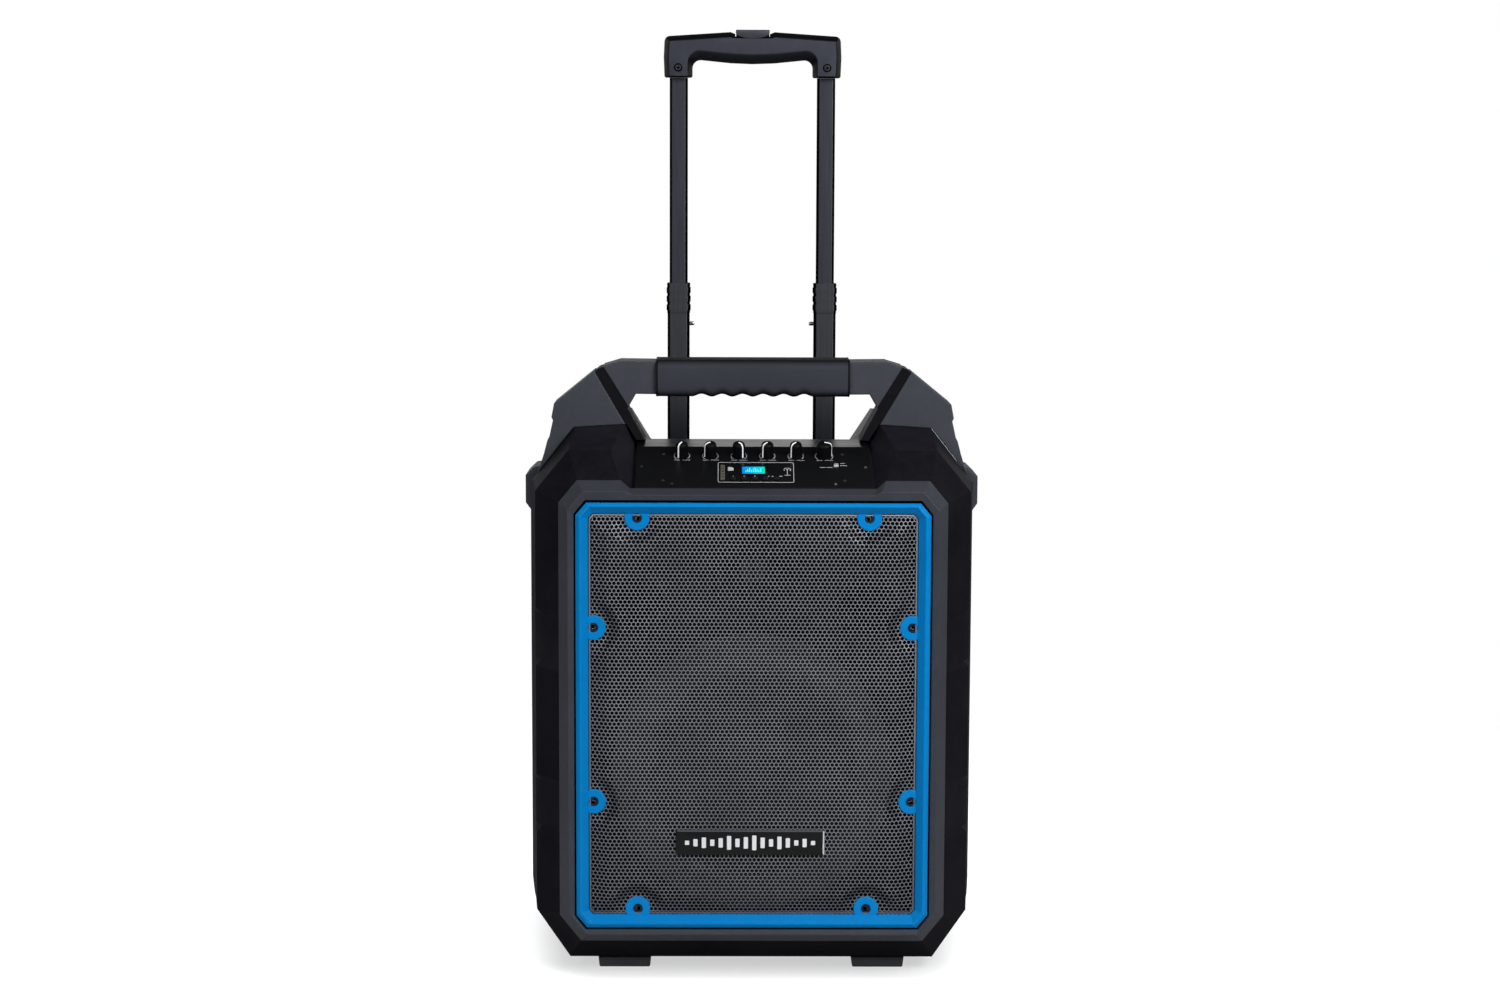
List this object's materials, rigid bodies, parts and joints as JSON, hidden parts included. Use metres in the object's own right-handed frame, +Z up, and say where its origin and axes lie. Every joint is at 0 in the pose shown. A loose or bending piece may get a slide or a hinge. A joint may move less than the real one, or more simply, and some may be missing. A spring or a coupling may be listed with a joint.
{
  "type": "trolley party speaker",
  "caption": "Portable party speaker with a faceted cabinet, framed metal grille, tilted control panel, carry handle, rear wheels and an extended telescopic trolley.",
  "frame": {"origin": "on the floor, under the middle of the overall outline", "axes": "+Z up, the grille faces -Y, +X to the right of someone facing the grille"},
  "size_m": [0.4428, 0.314, 0.8926],
  "materials": {
    "cabinet_front_shell": "fine moulded texture, black",
    "cabinet_rear_shell": "fine moulded texture, charcoal",
    "front_bezel": "satin charcoal",
    "trim_frame": "satin blue paint",
    "speaker_grille": "black powder coat, perforated in the looks model",
    "badge_plate": "gloss black",
    "woofer_basket": "black enamel",
    "woofer_magnet": "dark ferrite",
    "woofer_cone": "coated paper",
    "woofer_surround": "matt rubber",
    "horn_flare": "satin black",
    "horn_driver": "cast",
    "port_tube_left": "satin black",
    "port_tube_right": "satin black",
    "control_panel": "satin black",
    "knob_1": "satin black",
    "knob_2": "satin black",
    "knob_3": "satin black",
    "knob_4": "satin black",
    "knob_5": "satin black",
    "knob_6": "satin black",
    "media_module": "gloss black",
    "lcd_window": "backlit cyan display",
    "media_button_1": "satin dark grey",
    "media_button_2": "satin dark grey",
    "media_button_3": "satin dark grey",
    "media_button_4": "satin dark grey",
    "media_button_5": "satin dark grey",
    "mode_switch": "light plastic",
    "amplifier_board": "solder mask",
    "battery_pack": "matt",
    "rear_io_plate": "satin black",
    "power_rocker": "gloss red",
    "carry_handle_frame": "satin charcoal",
    "carry_handle_grip": "soft rubber",
    "trolley_grip": "satin charcoal",
    "release_button": "satin black",
    "inner_tube_left": "dark anodised",
    "inner_tube_right": "dark anodised",
    "middle_tube_left": "dark anodised",
    "middle_tube_right": "dark anodised",
    "outer_tube_left": "moulded guide",
    "outer_tube_right": "moulded guide",
    "lock_pin_left": "polished",
    "lock_pin_right": "polished",
    "wheel_hub_left": "satin charcoal",
    "wheel_hub_right": "satin charcoal",
    "tyre_left": "matt rubber",
    "tyre_right": "matt rubber",
    "wheel_axle": "turned steel",
    "foot_left": "matt rubber",
    "foot_right": "matt rubber",
    "grille_screw_1": "blackened",
    "grille_screw_2": "blackened",
    "grille_screw_3": "blackened",
    "grille_screw_4": "blackened",
    "grille_screw_5": "blackened",
    "grille_screw_6": "blackened",
    "grille_screw_7": "blackened",
    "grille_screw_8": "blackened"
  },
  "bodies": {
    "cabinet": {"cabinet_front_shell": "cabinet_front_shell", "cabinet_rear_shell": "cabinet_rear_shell", "front_bezel": "front_bezel", "trim_frame": "trim_frame", "speaker_grille": "speaker_grille", "badge_plate": "badge_plate", "woofer_basket": "woofer_basket", "woofer_magnet": "woofer_magnet", "woofer_surround": "woofer_surround", "horn_flare": "horn_flare", "horn_driver": "horn_driver", "port_tube_left": "port_tube_left", "port_tube_right": "port_tube_right", "control_panel": "control_panel", "media_module": "media_module", "lcd_window": "lcd_window", "amplifier_board": "amplifier_board", "battery_pack": "battery_pack", "rear_io_plate": "rear_io_plate", "carry_handle_frame": "carry_handle_frame", "carry_handle_grip": "carry_handle_grip", "outer_tube_left": "outer_tube_left", "outer_tube_right": "outer_tube_right", "wheel_axle": "wheel_axle", "foot_left": "foot_left", "foot_right": "foot_right", "grille_screw_1": "grille_screw_1", "grille_screw_2": "grille_screw_2", "grille_screw_3": "grille_screw_3", "grille_screw_4": "grille_screw_4", "grille_screw_5": "grille_screw_5", "grille_screw_6": "grille_screw_6", "grille_screw_7": "grille_screw_7", "grille_screw_8": "grille_screw_8"},
    "middle_stage": {"middle_tube_left": "middle_tube_left", "middle_tube_right": "middle_tube_right"},
    "inner_stage": {"inner_tube_left": "inner_tube_left", "inner_tube_right": "inner_tube_right", "trolley_grip": "trolley_grip"},
    "release": {"release_button": "release_button"},
    "pin_left": {"lock_pin_left": "lock_pin_left"},
    "pin_right": {"lock_pin_right": "lock_pin_right"},
    "mode_slider": {"mode_switch": "mode_switch"},
    "rocker": {"power_rocker": "power_rocker"},
    "cone": {"woofer_cone": "woofer_cone"},
    "wheel_left": {"wheel_hub_left": "wheel_hub_left", "tyre_left": "tyre_left"},
    "wheel_right": {"wheel_hub_right": "wheel_hub_right", "tyre_right": "tyre_right"},
    "dial_1": {"knob_1": "knob_1"},
    "dial_2": {"knob_2": "knob_2"},
    "dial_3": {"knob_3": "knob_3"},
    "dial_4": {"knob_4": "knob_4"},
    "dial_5": {"knob_5": "knob_5"},
    "dial_6": {"knob_6": "knob_6"},
    "key_1": {"media_button_1": "media_button_1"},
    "key_2": {"media_button_2": "media_button_2"},
    "key_3": {"media_button_3": "media_button_3"},
    "key_4": {"media_button_4": "media_button_4"},
    "key_5": {"media_button_5": "media_button_5"}
  },
  "joints": [
    {"name": "middle_stage_slide", "type": "slide", "parent": "cabinet", "child": "middle_stage", "axis": [0, 0, 1], "range_m": [-0.131, 0]},
    {"name": "inner_stage_slide", "type": "slide", "parent": "middle_stage", "child": "inner_stage", "axis": [0, 0, 1], "range_m": [-0.203, 0]},
    {"name": "release_button_press", "type": "slide", "parent": "inner_stage", "child": "release", "axis": [0, 0, -1], "range_m": [0, 0.006], "stiffness_N_per_m": 400, "springref_m": -0.004},
    {"name": "lock_pin_left_slide", "type": "slide", "parent": "inner_stage", "child": "pin_left", "axis": [-1, 0, 0], "range_m": [0, 0.0068], "stiffness_N_per_m": 100, "springref_m": -0.002},
    {"name": "lock_pin_right_slide", "type": "slide", "parent": "inner_stage", "child": "pin_right", "axis": [1, 0, 0], "range_m": [0, 0.0068], "stiffness_N_per_m": 100, "springref_m": -0.002},
    {"name": "knob_1_turn", "type": "hinge", "parent": "cabinet", "child": "dial_1", "pos_m": [-0.0667, -0.08577, 0.48931], "axis": [0, -0.4148, 0.9099], "range_deg": [-150, 150]},
    {"name": "knob_2_turn", "type": "hinge", "parent": "cabinet", "child": "dial_2", "pos_m": [-0.04, -0.08577, 0.48931], "axis": [0, -0.4148, 0.9099], "range_deg": [-150, 150]},
    {"name": "knob_3_turn", "type": "hinge", "parent": "cabinet", "child": "dial_3", "pos_m": [-0.0133, -0.08577, 0.48931], "axis": [0, -0.4148, 0.9099], "range_deg": [-150, 150]},
    {"name": "knob_4_turn", "type": "hinge", "parent": "cabinet", "child": "dial_4", "pos_m": [0.0134, -0.08577, 0.48931], "axis": [0, -0.4148, 0.9099], "range_deg": [-150, 150]},
    {"name": "knob_5_turn", "type": "hinge", "parent": "cabinet", "child": "dial_5", "pos_m": [0.0401, -0.08577, 0.48931], "axis": [0, -0.4148, 0.9099], "range_deg": [-150, 150]},
    {"name": "knob_6_turn", "type": "hinge", "parent": "cabinet", "child": "dial_6", "pos_m": [0.0668, -0.08577, 0.48931], "axis": [0, -0.4148, 0.9099], "range_deg": [-150, 150]},
    {"name": "media_button_1_press", "type": "slide", "parent": "cabinet", "child": "key_1", "axis": [0, 0.4148, -0.9099], "range_m": [0, 0.001], "stiffness_N_per_m": 400, "springref_m": -0.001},
    {"name": "media_button_2_press", "type": "slide", "parent": "cabinet", "child": "key_2", "axis": [0, 0.4148, -0.9099], "range_m": [0, 0.001], "stiffness_N_per_m": 400, "springref_m": -0.001},
    {"name": "media_button_3_press", "type": "slide", "parent": "cabinet", "child": "key_3", "axis": [0, 0.4148, -0.9099], "range_m": [0, 0.001], "stiffness_N_per_m": 400, "springref_m": -0.001},
    {"name": "media_button_4_press", "type": "slide", "parent": "cabinet", "child": "key_4", "axis": [0, 0.4148, -0.9099], "range_m": [0, 0.001], "stiffness_N_per_m": 400, "springref_m": -0.001},
    {"name": "media_button_5_press", "type": "slide", "parent": "cabinet", "child": "key_5", "axis": [0, 0.4148, -0.9099], "range_m": [0, 0.001], "stiffness_N_per_m": 400, "springref_m": -0.001},
    {"name": "mode_switch_slide", "type": "slide", "parent": "cabinet", "child": "mode_slider", "axis": [0, 0.9099, 0.4148], "range_m": [0, 0.0036]},
    {"name": "power_rocker_tip", "type": "hinge", "parent": "cabinet", "child": "rocker", "pos_m": [0.05, 0.153, 0.205], "axis": [1, 0, 0], "range_deg": [0, 14]},
    {"name": "woofer_cone_travel", "type": "slide", "parent": "cabinet", "child": "cone", "axis": [0, -1, 0], "range_m": [-0.004, 0.004], "stiffness_N_per_m": 2500},
    {"name": "wheel_left_spin", "type": "hinge", "parent": "cabinet", "child": "wheel_left", "pos_m": [-0.199, 0.117, 0.035], "axis": [1, 0, 0], "continuous": true},
    {"name": "wheel_right_spin", "type": "hinge", "parent": "cabinet", "child": "wheel_right", "pos_m": [0.199, 0.117, 0.035], "axis": [1, 0, 0], "continuous": true}
  ],
  "couplings": [
    {"joint": "lock_pin_left_slide", "follows": "release_button_press", "ratio": 1.1333},
    {"joint": "lock_pin_right_slide", "follows": "release_button_press", "ratio": 1.1333}
  ]
}
